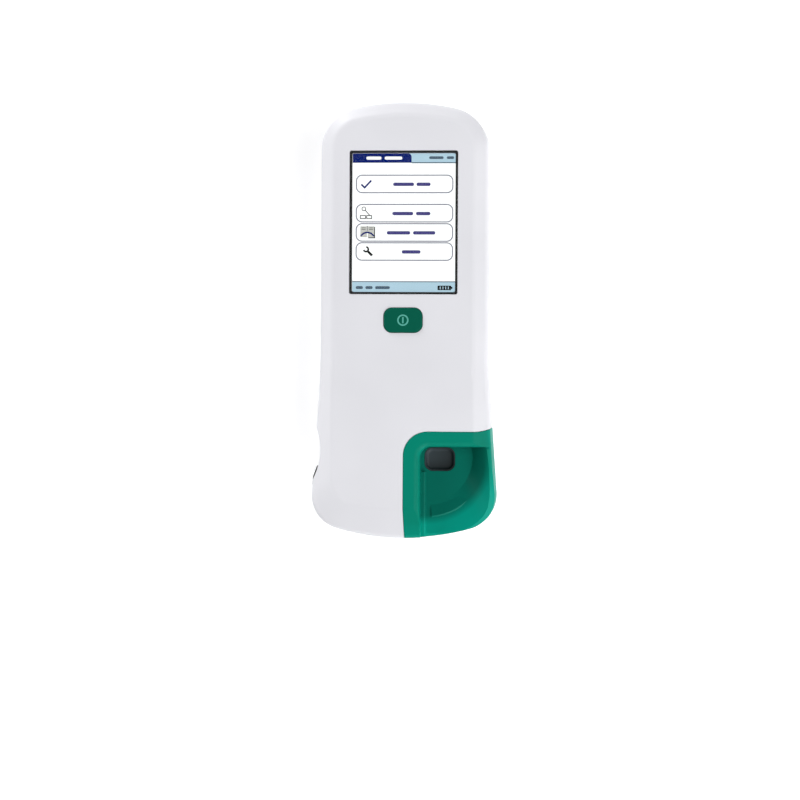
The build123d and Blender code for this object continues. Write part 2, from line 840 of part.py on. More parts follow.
def infrared_transceiver():
    edge = head_y - board_head_margin
    body = slab((-5.5, 5.5), (edge - 3, edge + 3.5), (board_floor - 4.5, board_floor))
    for x in (-2.7, 2.7):
        body += bar_along_y(1.6, x, board_floor - 2.2, (edge + 3, edge + 4.6))
    return body


# Code chip


def code_chip():
    """Chip whose outer end follows the thumb scallop and stands a little proud of it."""
    chip = chip_slot(0.0) - thumb_scallop(-chip_proud)
    chip &= extrude(body_outline(0.3, 0), thickness)
    for row in range(4):
        x = -chip_inner - 3.0 - 2.0 * row
        chip -= slab((x - 0.4, x + 0.4), (chip_y - 3, chip_y + 3), (chip_floor - 1, chip_floor + 0.4))
    return chip


def code_chip_socket():
    grow = chip_gap + socket_wall
    block = slab((chip_mouth + 1.0, -chip_inner + grow), (chip_y - chip_width / 2 - grow, chip_y + chip_width / 2 + grow),
                 (chip_floor - grow, board_floor))
    return block - chip_slot(chip_gap)


# Strip port, guide and optics


def port_flange_plate(grow=0.0):
    """Plate below the recess floor that the port's tub stands on, or with grow the room for it."""
    width = port_width + 2 * (port_flange + grow)
    height = port_height + 2 * (port_flange - port_gap + grow)
    return plate(port_x, port_y, width, height, port_corner + port_flange + grow,
                 (port_floor - grow, port_floor + port_flange_thickness - port_sink + min(grow, port_sink)))


def strip_port():
    """Dark tub in the recess floor that the strip passes over on its way in."""
    gap = 2 * port_gap
    tub = port_flange_plate()
    tub += plate(port_x, port_y, port_width - gap, port_height - gap, port_corner - port_gap,
                 (port_floor, recess_floor - port_sink))
    inner = gap + 2 * port_wall
    hollow = plate(port_x, port_y, port_width - inner, port_height - inner, port_corner - port_gap - port_wall,
                   (recess_floor - port_depth, recess_floor + 1))
    tub -= hollow
    return fillet(on_level(tub, recess_floor - port_depth), port_round)


def strip_guide():
    """Channel that takes the strip's inner end under the heater and over the optics."""
    left, right = port_x - guide_half, port_x + guide_half
    guide = slab((left, right), (guide_tail, guide_head), (guide_floor, guide_top))
    guide -= slab((port_x - strip_width / 2, port_x + strip_width / 2), (guide_tail - 1, guide_head - guide_end),
                  (recess_floor, recess_floor + strip_room))
    guide -= slab((port_x - eye_width / 2, port_x + eye_width / 2), (eye_y - eye_length / 2, eye_y + eye_length / 2),
                  (guide_floor - 1, recess_floor + 0.5))
    guide -= slab((port_x - heater_width / 2 - heater_gap, port_x + heater_width / 2 + heater_gap),
                  (eye_y - heater_length / 2 - heater_gap, eye_y + heater_length / 2 + heater_gap),
                  (recess_floor + strip_room - 0.5, guide_top + 1))
    return guide


def heater_plate():
    plug = slab((port_x - heater_width / 2, port_x + heater_width / 2),
                (eye_y - heater_length / 2, eye_y + heater_length / 2), (recess_floor + strip_room, guide_top))
    rim = 1.2
    top = slab((port_x - heater_width / 2 - rim, port_x + heater_width / 2 + rim),
               (eye_y - heater_length / 2 - rim, eye_y + heater_length / 2 + rim), (guide_top, guide_top + heater_rim))
    return plug + top


def clamp_spring():
    """Bowed leaf between the heater plate and a rib of the front casing."""
    low, half = guide_top + heater_rim, spring_span / 2
    outer = make_face([ThreePointArc((eye_y - half, low), (eye_y, low + spring_rise), (eye_y + half, low)),
                       Line((eye_y + half, low), (eye_y - half, low))])
    reach = half - 2 * spring_gauge
    inner = make_face([ThreePointArc((eye_y - reach, low), (eye_y, low + spring_rise - spring_gauge),
                                     (eye_y + reach, low)), Line((eye_y + reach, low), (eye_y - reach, low))])
    return Pos(port_x - spring_width / 2, 0, 0) * extrude(Plane.YZ * (outer - inner), spring_width)


def strip_detector():
    x = port_x + guide_half
    body = slab((x, x + 5), (guide_head - 12, guide_head - 3), (guide_floor, guide_top + 1))
    return body - slab((x + 1, x + 6), (guide_head - 9, guide_head - 6), (guide_floor + 2, guide_top + 2))


def carrier_span(x_grow, y_grow, z):
    return slab((port_x - guide_half - x_grow, port_x + guide_half + x_grow),
                (eye_y - carrier_length / 2 - y_grow, eye_y + carrier_length / 2 + y_grow), z)


def optics_carrier():
    """Light-tight shaft below the strip, with webs for the lens barrel and the lamps."""
    low = carrier_floor
    shaft = carrier_span(0, 0, (low, carrier_top))
    shaft -= carrier_span(-carrier_wall, -carrier_wall, (low - 1, web_floor))
    shaft -= carrier_span(-carrier_wall, -carrier_wall, (web_floor + web_thickness, lamp_floor))
    shaft -= carrier_span(-carrier_wall, -carrier_wall, (lamp_floor + web_thickness, carrier_top + 1))
    shaft -= pin(port_x, eye_y, (web_floor - 1, web_floor + web_thickness + 1), barrel_radius + 0.05)
    window = (eye_width / 2, eye_length / 2)
    shaft -= slab((port_x - window[0], port_x + window[0]), (eye_y - window[1], eye_y + window[1]),
                  (lamp_floor - 1, lamp_floor + web_thickness + 1))
    return shaft


def optics_seal():
    seal = carrier_span(0, 0, (carrier_top, guide_floor))
    return seal - carrier_span(-carrier_wall, -carrier_wall, (carrier_top - 1, guide_floor + 1))


def camera_board():
    return carrier_span(0, 0, (carrier_base, carrier_floor))


def camera_sensor():
    body = plate(port_x, eye_y, 8, 8, 0.3, (carrier_floor, carrier_floor + 1.4))
    return body - plate(port_x, eye_y, 5, 5, 0.3, (carrier_floor + 1.0, carrier_floor + 2))


def lens_barrel():
    seat = web_floor + web_thickness
    barrel = pin(port_x, eye_y, (seat - barrel_length / 2, seat + barrel_length / 2), barrel_radius)
    barrel += pin(port_x, eye_y, (seat, seat + 1.0), barrel_radius + 1.2)
    barrel -= pin(port_x, eye_y, (seat - barrel_length, seat + barrel_length), lens_radius - 0.6)
    return barrel - pin(port_x, eye_y, (seat + 1.0, seat + barrel_length), lens_radius)


def lens():
    """Lens with a flat back and a domed front that sits on the barrel's inner step."""
    seat = web_floor + web_thickness + 1.0
    top = seat + lens_edge + arch_drop(lens_round, lens_radius)
    dome = Pos(port_x, eye_y, top - lens_round) * Sphere(lens_round)
    return dome & pin(port_x, eye_y, (seat, top + 1), lens_radius)


def lamp_board():
    seat = lamp_floor + web_thickness
    board = carrier_span(-carrier_wall - 0.2, -carrier_wall - 0.2, (seat, seat + 1.2))
    return board - slab((port_x - eye_width / 2 + 1, port_x + eye_width / 2 - 1),
                        (eye_y - eye_length / 2 + 1, eye_y + eye_length / 2 - 1), (seat - 1, seat + 2))


def lamps():
    seat = lamp_floor + web_thickness + 1.2
    lamp = chamfer(on_level(pin(0, 0, (0, lamp_height), lamp_radius), lamp_height), lamp_radius / 2)
    reach = carrier_length / 2 - carrier_wall - 2.0
    return Compound([Pos(port_x + x, eye_y + y, seat) * lamp for x in (-4, 4) for y in (-reach, reach)])


def optics_flex():
    """Ribbon from the camera board, up beside the shaft and under the main board's leg."""
    x, low, high, bend = port_x - guide_half, (carrier_base + carrier_floor) / 2, board_floor - ribbon / 2, 2.0
    across = leg_right - 6.0
    up = x - 2.0 * bend
    slant = bend * cos(radians(45))
    path = [Line((x, low), (up + bend, low)),
            ThreePointArc((up + bend, low), (up + bend - slant, low + bend - slant), (up, low + bend)),
            Line((up, low + bend), (up, high - bend)),
            ThreePointArc((up, high - bend), (up - bend + slant, high - bend + slant), (up - bend, high)),
            Line((up - bend, high), (across, high))]
    strip = extrude(Plane.XZ * trace(path, ribbon), -flex_half)
    return Pos(0, eye_y - flex_half / 2, 0) * strip


# Head end and sockets


def scanner_window():
    return curved_window(rear_form, scanner_width, scanner_height, scanner_level)


def infrared_window():
    return curved_window(front_form, infrared_width, infrared_height, infrared_level)


def scanner_module():
    half = scanner_width / 2 - 3
    body = slab((-half, half), (scanner_back, scanner_front), (scanner_floor, scanner_floor + 12))
    body = fillet(body.edges().filter_by(Axis.Z), 1.0)
    body -= slab((-half + 2, 2), (scanner_front - 3, scanner_front + 1), (scanner_level - 3.5, scanner_level + 3.5))
    return body - bar_along_y(2.4, half - 4.5, scanner_level, (scanner_front - 4, scanner_front + 1))


def dc_socket():
    level = (dc_level - dc_body / 2, dc_level + dc_body / 2)
    body = slab((-dc_from_centre - dc_body / 2, -dc_from_centre + dc_body / 2), (dc_front, dc_front + dc_body_length), level)
    body += bar_along_y(dc_mouth + 0.9, -dc_from_centre, dc_level, (dc_lip, dc_front + 1))
    body -= bar_along_y(dc_mouth, -dc_from_centre, dc_level, (dc_lip - 1, dc_lip + dc_bore_depth))
    return body


def dc_contact_pin():
    return bar_along_y(dc_pin, -dc_from_centre, dc_level, (dc_lip + 1.0, dc_lip + dc_bore_depth))


def charging_block():
    low = base + 0.4
    block = plate(charge_x, charge_y, charge_block_width, charge_block_length, 1.5, (low, low + charge_block_thickness))
    return block + plate(charge_x, charge_y, charge_block_width + 3, charge_block_length + 3, 2.5, (floor, floor + 1.2))


def charging_contacts():
    low = base + 0.4
    return Compound([plate(charge_x + x * 5.5, charge_y, charge_pad, charge_block_length - 2, 0.6, (low - 0.3, low))
                     for x in (-1.5, -0.5, 0.5, 1.5)])


# Battery


def battery_bay():
    """Box over the battery pack, open below, with a foot flange on the casing's floor."""
    width = battery_width + 2 * battery_gap
    height = bay_head - bay_tail
    outer = 2 * bay_wall
    bay = plate(0, bay_mid, width + outer, height + outer, 2.5, (floor, bay_roof + bay_wall))
    rim = outer + 2 * bay_flange
    bay += plate(0, bay_mid, width + rim, height + rim, 4, (floor, floor + 1.2))
    bay -= plate(0, bay_mid, width, height, 1.0, (floor - 1, bay_roof))
    return bay


def battery_pack():
    low = floor + battery_gap
    pack = slab((-battery_width / 2, battery_width / 2), (bay_y - battery_height / 2, bay_y + battery_height / 2),
                (low, low + battery_thickness))
    pack = fillet(pack.edges().filter_by(Axis.Y), battery_round)
    return pack - slab((-9, 9), (bay_y + battery_height / 2 - 6, bay_y + battery_height), (low - 1, low + 1.5))


def battery_contacts():
    """Bowed leaves between the bay's tail wall and the pack."""
    radius = contact_room + battery_gap - 0.05
    level = floor + battery_gap + battery_thickness / 2
    bow = Circle(radius) - Circle(radius - 0.35)
    bow &= Pos(radius, 0) * Rectangle(2 * radius, 4 * radius)
    leaf = extrude(Plane.YZ * bow, 3.0)
    return Compound([Pos(x - 1.5, bay_tail, level) * leaf for x in (-14, 0, 14)])


def door_opening():
    grow = 2 * door_gap
    hole = plate(0, bay_mid, door_width + grow, door_height + grow, 3.0, (0, floor + 1))
    corner = slab((-door_width / 2 - door_gap, door_width / 2 + door_gap), (bay_mid, bay_mid + door_height / 2 + door_gap),
                  (0, floor + 1))
    hinge = door_width / 2 + hinge_pin_length + door_gap
    pins = Pos(0, hinge_y, hinge_z) * Rot(0, 90, 0) * Cylinder(hinge_pin_radius + hinge_gap, 2 * hinge)
    return hole + corner + pins


def battery_door():
    """Lid with a rounded hinge end, two pins, a thumb grip and a low seat for its free end."""
    left, tail = -door_width / 2, bay_mid - door_height / 2
    lid = slab((left, -left), (tail, hinge_y), (base, base + 2 * hinge_radius))
    lid = fillet(lid.edges().filter_by(Axis.Z).group_by(Axis.Y)[0], 3.0 - door_gap)
    lid += Pos(0, hinge_y, hinge_z) * Rot(0, 90, 0) * Cylinder(hinge_radius, door_width)
    lid += Pos(0, hinge_y, hinge_z) * Rot(0, 90, 0) * Cylinder(hinge_pin_radius, door_width + 2 * hinge_pin_length)
    lid += slab((left + 6, -left - 6), (tail + door_margin - bay_wall + 0.3, tail + door_margin),
                (base + 1, floor))
    for row in range(5):
        y = tail + 8 + 2.6 * row
        lid -= slab((-12, 12), (y - 0.6, y + 0.6), (base - 1, base + 0.5))
    return lid


makers = [
    front_casing, rear_casing, chamber_cover, display_window, display_gasket, lcd_panel, backlight, display_tray,
    display_flex, flex_connector, power_button, tact_switch, switch_plunger, main_board, board_screws, shield_can,
    processor, memory_chips, coin_cell_holder, coin_cell, beeper, infrared_transceiver, infrared_window,
    scanner_window, scanner_module, code_chip, code_chip_socket, strip_port, strip_guide, heater_plate,
    clamp_spring, strip_detector, optics_carrier, optics_seal, camera_board, camera_sensor, lens_barrel, lens,
    lamp_board, lamps, optics_flex, dc_socket, dc_contact_pin, charging_block, charging_contacts, battery_bay,
    battery_pack, battery_contacts, battery_door, rubber_feet, housing_screws,
]
os.makedirs("parts", exist_ok=True)
for maker in makers:
    export_step(maker(), f"parts/{maker.__name__}.step")
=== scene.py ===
import bpy
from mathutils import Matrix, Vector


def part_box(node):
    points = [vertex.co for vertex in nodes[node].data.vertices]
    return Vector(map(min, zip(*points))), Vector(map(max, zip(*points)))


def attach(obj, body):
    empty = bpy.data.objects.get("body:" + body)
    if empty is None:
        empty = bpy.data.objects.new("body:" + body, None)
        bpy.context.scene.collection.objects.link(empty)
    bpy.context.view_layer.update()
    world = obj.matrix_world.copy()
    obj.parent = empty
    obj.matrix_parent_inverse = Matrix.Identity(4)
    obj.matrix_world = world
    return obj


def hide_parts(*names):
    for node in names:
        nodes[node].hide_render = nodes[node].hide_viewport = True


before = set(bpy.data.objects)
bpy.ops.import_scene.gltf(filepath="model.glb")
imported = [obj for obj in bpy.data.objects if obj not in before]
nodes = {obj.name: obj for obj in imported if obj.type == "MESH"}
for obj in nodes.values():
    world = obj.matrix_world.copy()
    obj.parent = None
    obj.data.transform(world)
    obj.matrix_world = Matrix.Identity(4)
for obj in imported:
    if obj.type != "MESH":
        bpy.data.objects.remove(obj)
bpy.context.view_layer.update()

import bpy
from math import cos, pi, radians, sin
from mathutils import Matrix, Vector
from mathutils.bvhtree import BVHTree

scene = bpy.context.scene
scene.view_settings.view_transform = "Standard"
MM = 0.001

# Where the camera stands, in metres and degrees: above the face, a little to the right of it
camera_side = 0.0814
camera_head = -0.0248
camera_height = 1.250
frame_width = 0.4537
silhouette_height = 0.025
image_centre = (-0.0032, -0.0445)
camera_roll = -0.303

# Patterns of the moulded plastics: noise scales, and the depth of the spark-eroded texture in metres
mottle_scale = 18.0
gloss_scale = 60.0
texture_scale = 2600.0
texture_depth = 0.00004

# Where painted shade and painted light change the tone of the cover's green, and painted shade darkens the
# port's grey, in metres
dish_centre = (0.0127, -0.0762, 0.0)
dish_shade_flank_light_radii = (0.033, 0.038)
painted_tone_fade_heights = (0.044, 0.0495)
scoop_painted_shade_ends = (0.086, 0.114)


# Shader building blocks


def new_material(name):
    material = bpy.data.materials.new(name)
    material.use_nodes = True
    tree = material.node_tree
    tree.nodes.clear()
    output = tree.nodes.new("ShaderNodeOutputMaterial")
    shader = tree.nodes.new("ShaderNodeBsdfPrincipled")
    tree.links.new(shader.outputs["BSDF"], output.inputs["Surface"])
    return material, tree, shader


def object_coordinates(tree):
    return tree.nodes.new("ShaderNodeTexCoord").outputs["Object"]


def noise(tree, scale, detail=3.0, roughness=0.5, source=None):
    node = tree.nodes.new("ShaderNodeTexNoise")
    node.inputs["Scale"].default_value = scale
    node.inputs["Detail"].default_value = detail
    node.inputs["Roughness"].default_value = roughness
    tree.links.new(source or object_coordinates(tree), node.inputs["Vector"])
    return node.outputs["Fac"]


def ramp(tree, source, stops):
    """Colour ramp with (position, colour) stops."""
    node = tree.nodes.new("ShaderNodeValToRGB")
    elements = node.color_ramp.elements
    while len(elements) < len(stops):
        elements.new(0.5)
    for element, (position, colour) in zip(elements, stops):
        element.position = position
        element.color = (*colour, 1.0)
    tree.links.new(source, node.inputs["Fac"])
    return node.outputs["Color"]


def spread(tree, source, low, high):
    """Maps 0..1 to low..high."""
    node = tree.nodes.new("ShaderNodeMapRange")
    node.inputs["To Min"].default_value = low
    node.inputs["To Max"].default_value = high
    tree.links.new(source, node.inputs["Value"])
    return node.outputs["Result"]


def fraction(tree, source, low, high):
    """Maps low..high to 0..1."""
    node = tree.nodes.new("ShaderNodeMapRange")
    node.inputs["From Min"].default_value = low
    node.inputs["From Max"].default_value = high
    tree.links.new(source, node.inputs["Value"])
    return node.outputs["Result"]


def bump(tree, shader, height, strength, distance):
    node = tree.nodes.new("ShaderNodeBump")
    node.inputs["Strength"].default_value = strength
    node.inputs["Distance"].default_value = distance
    tree.links.new(height, node.inputs["Height"])
    tree.links.new(node.outputs["Normal"], shader.inputs["Normal"])


def linear(colour):
    """Linear light values of an ordinary 0..255 screen colour."""
    values = [c / 255 for c in colour]
    return tuple(v / 12.92 if v <= 0.04045 else ((v + 0.055) / 1.055) ** 2.4 for v in values)


def shade(colour, factor):
    return tuple(min(1.0, v * factor) for v in colour)


def moulded(name, colour, roughness, spark=0.03, specular=0.5, mottle=0.02):
    """Moulded plastic: fine spark-eroded texture, a slight mottle and uneven gloss."""
    material, tree, shader = new_material(name)
    base = linear(colour)
    broad = noise(tree, mottle_scale, 2.0)
    tint = ramp(tree, broad, [(0.35, shade(base, 1.0 - mottle)), (0.65, shade(base, 1.0 + mottle))])
    tree.links.new(tint, shader.inputs["Base Color"])
    gloss = spread(tree, noise(tree, gloss_scale), roughness - 0.04, roughness + 0.04)
    tree.links.new(gloss, shader.inputs["Roughness"])
    shader.inputs["Specular IOR Level"].default_value = specular
    bump(tree, shader, noise(tree, texture_scale, 2.0), spark, texture_depth)
    return material


def metal(name, colour, roughness):
    """Metal with fine streaks across Y."""
    material, tree, shader = new_material(name)
    base = linear(colour)
    streak_scale = 500.0
    streak_squeeze = 14.0
    uneven_gloss = 0.075
    streaks = tree.nodes.new("ShaderNodeMapping")
    streaks.inputs["Scale"].default_value = (1.0, streak_squeeze, 1.0)
    tree.links.new(object_coordinates(tree), streaks.inputs["Vector"])
    fine = noise(tree, streak_scale, 4.0, 0.6, streaks.outputs["Vector"])
    tint = ramp(tree, fine, [(0.3, shade(base, 0.86)), (0.7, shade(base, 1.08))])
    tree.links.new(tint, shader.inputs["Base Color"])
    gloss = spread(tree, fine, roughness - uneven_gloss, roughness + uneven_gloss)
    tree.links.new(gloss, shader.inputs["Roughness"])
    shader.inputs["Metallic"].default_value = 1.0
    bump(tree, shader, fine, 0.08, texture_depth / 2)
    return material


def coordinates_apart(tree):
    """Node whose outputs X, Y and Z are the object coordinates."""
    node = tree.nodes.new("ShaderNodeSeparateXYZ")
    tree.links.new(object_coordinates(tree), node.inputs["Vector"])
    return node


def green_with_painted_shade_and_light(name, rim, dish, flank, roughness):
    """Moulded plastic with one darker tone down in the dish as painted shade, one lighter tone on the flank
    around it as painted light, and its own tone on the rim.
    """
    material = moulded(name, rim, roughness, spark=0.04, specular=0.07)
    tree = material.node_tree
    shader = tree.nodes["Principled BSDF"]
    rim_tint = shader.inputs["Base Color"].links[0].from_socket
    flat = tree.nodes.new("ShaderNodeVectorMath")
    flat.operation = "MULTIPLY"
    flat.inputs[1].default_value = (1.0, 1.0, 0.0)
    tree.links.new(object_coordinates(tree), flat.inputs[0])
    reach = tree.nodes.new("ShaderNodeVectorMath")
    reach.operation = "DISTANCE"
    reach.inputs[1].default_value = dish_centre
    tree.links.new(flat.outputs["Vector"], reach.inputs[0])
    # Painted shade down in the dish, turning to painted light on the flank further out
    outwards = fraction(tree, reach.outputs["Value"], *dish_shade_flank_light_radii)
    painted_shade_and_light_tint = ramp(tree, outwards, [(0.0, linear(dish)), (1.0, linear(flank))])
    # Towards the rim's height the painted shade and light give way to the rim's own green
    upwards = fraction(tree, coordinates_apart(tree).outputs["Z"], *painted_tone_fade_heights)
    mix = tree.nodes.new("ShaderNodeMix")
    mix.data_type = "RGBA"
    colour_low, colour_high = mix.inputs[6], mix.inputs[7]
    colour_mixed = mix.outputs[2]
    tree.links.new(upwards, mix.inputs["Factor"])
    tree.links.new(painted_shade_and_light_tint, colour_low)
    tree.links.new(rim_tint, colour_high)
    tree.links.new(colour_mixed, shader.inputs["Base Color"])
    return material


def grey_with_painted_scoop_shade(name, light, dark, roughness):
    """Moulded plastic with painted shade: its tone falls off from grey to black along a line across the scoop
    of the port.
    """
    material, tree, shader = new_material(name)
    place = coordinates_apart(tree)
    # Painted shade: lighter grey towards lower X and higher Y, falling to black towards higher X and lower Y
    along = tree.nodes.new("ShaderNodeMath")
    along.operation = "SUBTRACT"
    tree.links.new(place.outputs["X"], along.inputs[0])
    tree.links.new(place.outputs["Y"], along.inputs[1])
    across = fraction(tree, along.outputs["Value"], *scoop_painted_shade_ends)
    tint = ramp(tree, across, [(0.0, linear(light)), (1.0, linear(dark))])
    tree.links.new(tint, shader.inputs["Base Color"])
    gloss = spread(tree, noise(tree, gloss_scale), roughness - 0.05, roughness + 0.05)
    tree.links.new(gloss, shader.inputs["Roughness"])
    shader.inputs["Specular IOR Level"].default_value = 0.16
    bump(tree, shader, noise(tree, texture_scale, 2.0), 0.05, texture_depth)
    return material


def clear(name, tint, roughness=0.03, index=1.49):
    """Clear moulded plastic with a trace of unevenness in its polish."""
    material, tree, shader = new_material(name)
    polish_scale = 24.0
    broad = noise(tree, polish_scale, 2.0)
    base = linear(tint)
    tree.links.new(ramp(tree, broad, [(0.3, shade(base, 0.985)), (0.7, base)]), shader.inputs["Base Color"])
    tree.links.new(spread(tree, broad, roughness * 0.6, roughness * 1.4), shader.inputs["Roughness"])
    shader.inputs["Transmission Weight"].default_value = 1.0
    shader.inputs["IOR"].default_value = index
    return material


def lit(name, colour, strength=1.0):
    """Lit part of the display: its own light, with a faint unevenness of the light guide behind it."""
    material, tree, shader = new_material(name)
    base = linear(colour)
    glow_scale = 30.0
    glow = ramp(tree, noise(tree, glow_scale, 2.0), [(0.3, shade(base, 0.975)), (0.7, base)])
    tree.links.new(glow, shader.inputs["Emission Color"])
    shader.inputs["Emission Strength"].default_value = strength
    shader.inputs["Base Color"].default_value = (*shade(base, 0.06), 1.0)
    shader.inputs["Roughness"].default_value = 0.3
    shader.inputs["Specular IOR Level"].default_value = 0.05
    return material


def paint(material, *names):
    for name in names:
        mesh = nodes[name].data
        mesh.materials.clear()
        mesh.materials.append(material)


# Finishes

shell_white = moulded("shell_white_satin", (229, 229, 234), 0.42, spark=0.05, specular=0.4)
# Cover green with painted shade in the dish and painted light on the flank
cover_green = green_with_painted_shade_and_light("cover_green_satin_painted_shade_and_light", (0, 131, 109), (0, 110, 94), (0, 154, 134), 0.45)
key_green = moulded("key_green_rubberised", (0, 88, 69), 0.5, spark=0.05, specular=0.07)
icon_mint = moulded("key_icon_mint_print", (90, 175, 160), 0.45, specular=0.15)
mask_black = moulded("window_border_black_print", (4, 4, 5), 0.35, specular=0.3)
port_black = moulded("port_black_matt", (46, 48, 50), 0.5, specular=0.4)
# Port grey with painted shade that falls to black across the scoop
port_scoop = grey_with_painted_scoop_shade("port_grey_to_black_painted_shade", (64, 72, 77), (6, 15, 13), 0.5)
chip_black = moulded("chip_black_matt", (20, 20, 22), 0.4)
rubber_black = moulded("foot_rubber_black", (26, 26, 27), 0.75, spark=0.12)
inner_grey = moulded("inner_grey_plastic", (96, 98, 104), 0.5)
board_green = moulded("circuit_board_green", (12, 92, 50), 0.35, mottle=0.12)
film_amber = moulded("ribbon_amber_film", (178, 112, 36), 0.3, mottle=0.08)
window_dark = moulded("window_dark_red", (34, 10, 14), 0.12, spark=0.01)
resin_pale = moulded("lamp_resin_pale", (214, 220, 214), 0.15)
battery_blue = moulded("battery_wrap_blue_grey", (70, 84, 104), 0.38, mottle=0.05)
steel = metal("screw_steel", (176, 176, 180), 0.32)
plate_aluminium = metal("warm_plate_aluminium", (190, 191, 194), 0.36)
gold = metal("contact_gold", (222, 178, 98), 0.25)
window_clear = clear("window_clear_acrylic", (250, 252, 252), index=1.15)
lens_clear = clear("lens_clear_acrylic", (246, 250, 252), 0.02)
screen_white = lit("screen_white_lit", (253, 254, 253), strength=1.12)
screen_navy = lit("screen_navy_lit", (0, 24, 102))
screen_sky = lit("screen_sky_lit", (177, 207, 222))
screen_grey = lit("screen_grey_lit", (122, 122, 138))
screen_slate = lit("screen_slate_lit", (78, 96, 112))
screen_ink = lit("screen_ink_lit", (14, 15, 17))
screen_word = lit("screen_word_bars_lit", (70, 66, 124))
screen_page = lit("screen_page_lit", (196, 196, 190))

paint(shell_white, "front_casing", "rear_casing", "battery_door")
paint(cover_green, "chamber_cover")
paint(key_green, "power_button")
paint(port_scoop, "strip_port")
paint(port_black, "dc_socket", "charging_block", "optics_carrier", "lens_barrel", "scanner_module")
paint(chip_black, "code_chip", "code_chip_socket", "strip_detector", "flex_connector", "tact_switch")
paint(chip_black, "infrared_transceiver", "coin_cell_holder", "beeper", "processor", "memory_chips")
paint(rubber_black, "rubber_feet", "display_gasket", "optics_seal")
paint(inner_grey, "display_tray", "strip_guide", "battery_bay", "switch_plunger")
paint(battery_blue, "battery_pack")
paint(board_green, "main_board", "camera_board", "lamp_board")
paint(film_amber, "display_flex", "optics_flex")
paint(window_dark, "infrared_window", "scanner_window")
paint(resin_pale, "lamps", "camera_sensor", "backlight")
paint(steel, "housing_screws", "board_screws", "shield_can", "clamp_spring", "coin_cell", "dc_contact_pin")
paint(plate_aluminium, "heater_plate")
paint(gold, "charging_contacts", "battery_contacts")
paint(window_clear, "display_window")
paint(lens_clear, "lens")
paint(screen_white, "lcd_panel")


# Thin printed and lit shapes


def turned(loop):
    """The loop, anticlockwise."""
    area = sum(a[0] * b[1] - b[0] * a[1] for a, b in zip(loop, loop[1:] + loop[:1]))
    return loop if area > 0 else loop[::-1]


def arc(centre, radius, start, sweep, steps):
    """Points on an arc, with its start and sweep in degrees."""
    turns = [radians(start + sweep * i / steps) for i in range(steps + 1)]
    return [(centre[0] + radius * cos(t), centre[1] + radius * sin(t)) for t in turns]


def circle(centre, radius, count):
    """Loop of that many points."""
    return arc(centre, radius, 0, 360 * (count - 1) / count, count - 1)


def rounded(x0, y0, x1, y1, radii):
    """Rectangle with a corner radius each: lower left, lower right, upper right, upper left."""
    corners = [(x0, y0, 1, 1), (x1, y0, -1, 1), (x1, y1, -1, -1), (x0, y1, 1, -1)]
    loop = []
    for (x, y, dx, dy), radius, start in zip(corners, radii, (180, 270, 0, 90)):
        loop += arc((x + dx * radius, y + dy * radius), radius, start, 90, 8) if radius else [(x, y)]
    return loop


def stroke(points, width):
    """Closed outline of a line with that width, mitred at its corners."""
    sharpest = 0.35
    left, right = [], []
    for i, (x, y) in enumerate(points):
        before = points[max(i - 1, 0)]
        after = points[min(i + 1, len(points) - 1)]
        first = Vector((x - before[0], y - before[1])) if i else Vector((after[0] - x, after[1] - y))
        second = Vector((after[0] - x, after[1] - y)) if i < len(points) - 1 else first
        along = (first.normalized() + second.normalized()).normalized()
        reach = width / 2 / max(sharpest, along.dot(first.normalized()))
        left.append((x - along.y * reach, y + along.x * reach))
        right.append((x + along.y * reach, y - along.x * reach))
    return left + right[::-1]


class Sheet:
    """Flat shapes in mm that lie on a surface and become one mesh."""

    def __init__(self, surface, low, high):
        self.surface, self.low, self.high = surface, low, high
        self.points, self.faces = [], []

    def rows(self, loop):
        """Adds the loop at the low and at the high level and gives the number of each one's first point."""
        start = len(self.points)
        for level in (self.low, self.high):
            self.points += [(x * MM, y * MM, (self.surface(x, y) + level) * MM) for x, y in loop]
        return start, start + len(loop)

    def plate(self, loop):
        """Filled shape."""
        loop = turned(loop)
        low, high = self.rows(loop)
        count = len(loop)
        self.faces.append([high + i for i in range(count)])
        self.faces.append([low + i for i in reversed(range(count))])
        for i in range(count):
            j = (i + 1) % count
            self.faces.append([low + i, low + j, high + j, high + i])

    def ring(self, outer, inner):
        """Band between two loops with as many points each."""
        outer_low, outer_high = self.rows(turned(outer))
        inner_low, inner_high = self.rows(turned(inner))
        count = len(outer)
        for i in range(count):
            j = (i + 1) % count
            self.faces.append([outer_high + i, outer_high + j, inner_high + j, inner_high + i])
            self.faces.append([outer_low + j, outer_low + i, inner_low + i, inner_low + j])
            self.faces.append([outer_low + i, outer_low + j, outer_high + j, outer_high + i])
            self.faces.append([inner_low + j, inner_low + i, inner_high + i, inner_high + j])

    def piece(self, name, material, body, slot):
        mesh = bpy.data.meshes.new(name)
        mesh.from_pydata(self.points, [], self.faces)
        mesh.materials.append(material)
        return shown(bpy.data.objects.new(name, mesh), body)


def shown(piece, body):
    scene.collection.objects.link(piece)
    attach(piece, body)
    return piece


# Display, in mm: black border on the underside of the window and the lit picture on the panel

window_low, window_high = [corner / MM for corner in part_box("display_window")]
panel_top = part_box("lcd_panel")[1].z / MM
print_thickness = 0.05
border_side = 1.4
border_end = 1.15
picture_left = window_low.x + border_side
picture_right = window_high.x - border_side
picture_bottom = window_low.y + border_end
picture_top = window_high.y - border_end
picture_width = picture_right - picture_left
picture_height = picture_top - picture_bottom
picture_step = 0.03
picture_gap = 0.005


